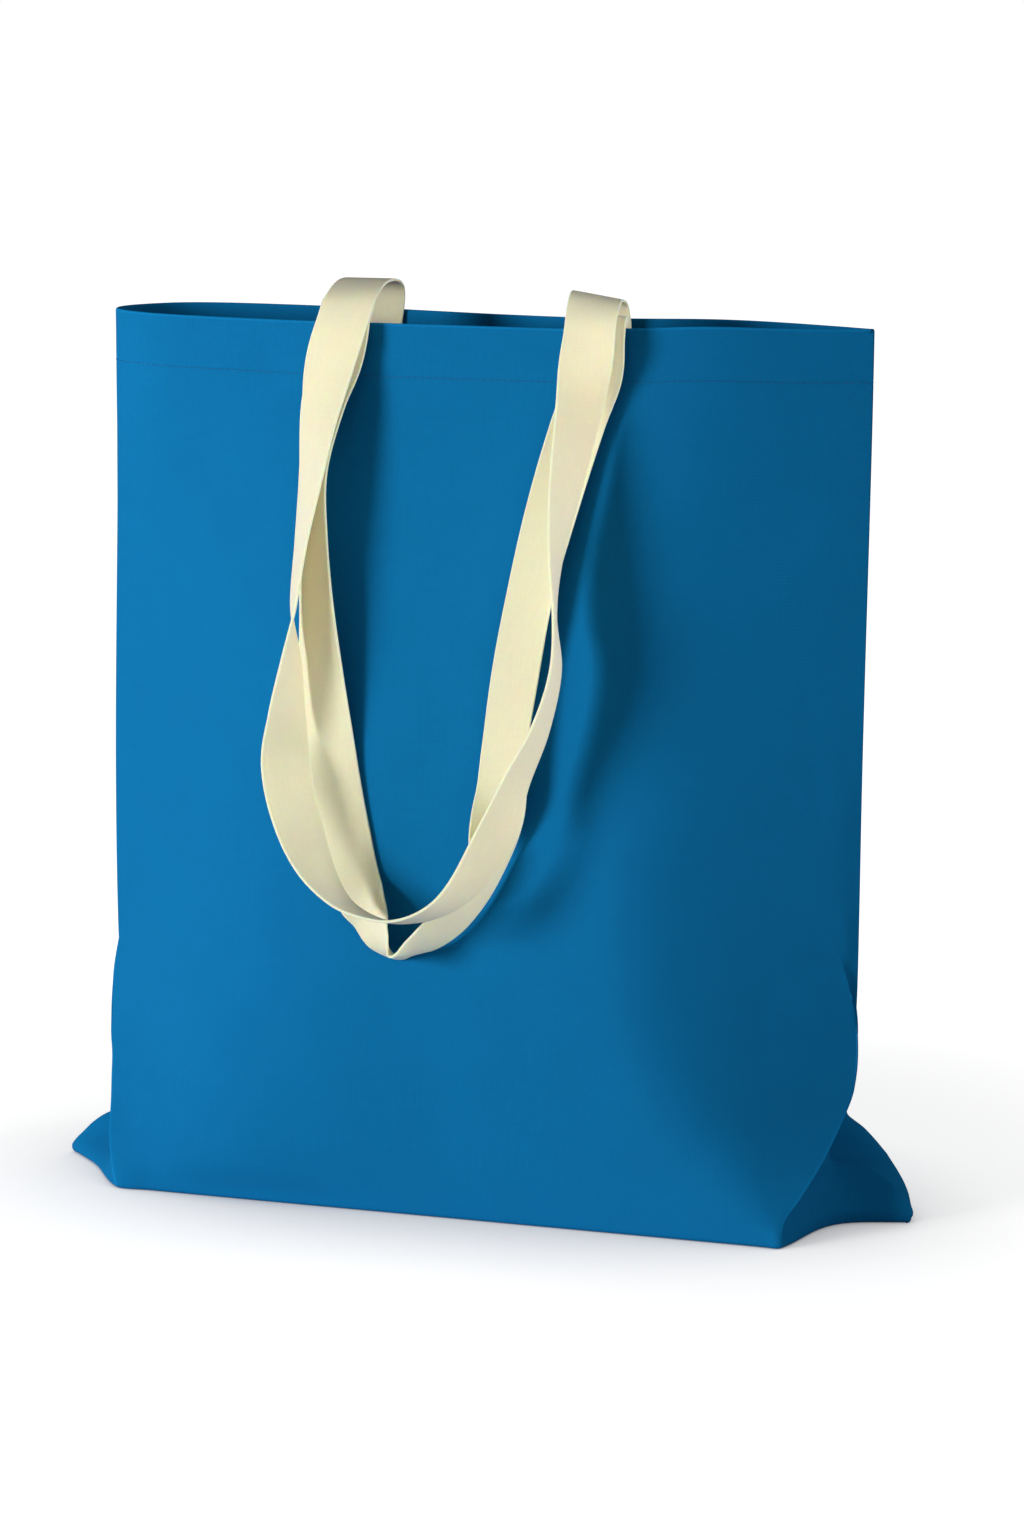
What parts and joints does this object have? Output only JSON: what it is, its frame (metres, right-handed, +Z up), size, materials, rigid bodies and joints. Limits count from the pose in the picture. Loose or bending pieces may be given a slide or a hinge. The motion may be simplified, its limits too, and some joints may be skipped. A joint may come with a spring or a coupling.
{
  "type": "cotton tote bag",
  "caption": "Soft open cotton tote bag standing on its folded base, with pointed corner ears, a turned-in hem round the mouth and flat tape handles hanging down the front.",
  "frame": {"origin": "middle of the flat base, on the surface that the bag stands on", "axes": "+Z up out of the mouth, +X along the width of the bag to the right as seen from the front, +Y from the front, where the handles hang, to the back"},
  "size_m": [0.4375, 0.1808, 0.4464],
  "materials": {
    "body_cloth": "plain-woven cotton canvas, dyed blue, matt",
    "handle_tape": "woven natural cotton tape, undyed, matt"
  },
  "bodies": {
    "root": {"bag_body": "body_cloth", "front_handle": "handle_tape", "back_handle": "handle_tape"}
  },
  "joints": []
}
